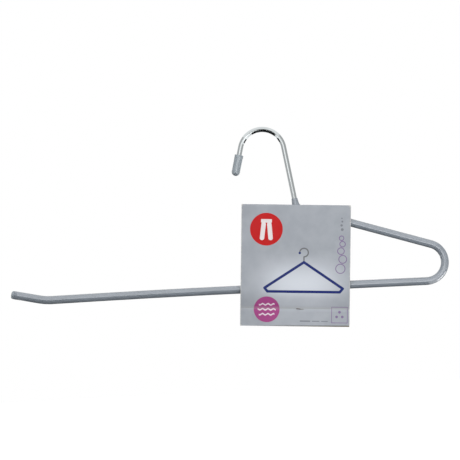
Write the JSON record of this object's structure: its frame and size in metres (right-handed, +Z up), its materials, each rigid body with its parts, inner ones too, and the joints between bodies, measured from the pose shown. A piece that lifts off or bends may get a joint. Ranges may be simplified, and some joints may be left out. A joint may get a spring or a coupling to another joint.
{
  "type": "non-slip clothes hanger",
  "caption": "Open-ended trouser hanger of bent steel wire with a soft grip sleeve, capped ends and a folded card hung on its neck.",
  "frame": {"origin": "the saddle of the hook: the inner top of its crown, where a rail carries the hanger", "axes": "+X along the bar towards the closed nose, +Z up with the bar level, the front of the card faces -Y"},
  "size_m": [0.371, 0.01, 0.1727],
  "materials": {
    "chromed_wire": "bright chrome plate on round steel wire",
    "grey_vinyl": "satin blue-grey soft vinyl tube",
    "cap_vinyl": "matt grey soft vinyl moulding",
    "silver_card": "coated board printed silver-grey, raw grey-brown edges",
    "staple_steel": "dull steel staple with a little rust"
  },
  "bodies": {
    "hanger": {"steel_wire": "chromed_wire", "grip_sleeve": "grey_vinyl", "hook_tip_cap": "cap_vinyl", "bar_end_plug": "cap_vinyl"},
    "card": {"folded_card": "silver_card", "card_staple": "staple_steel"}
  },
  "joints": [
    {"name": "card_lift", "type": "slide", "parent": "hanger", "child": "card", "axis": [-0.1547, 0, 0.988], "range_m": [0, 0.005]}
  ]
}
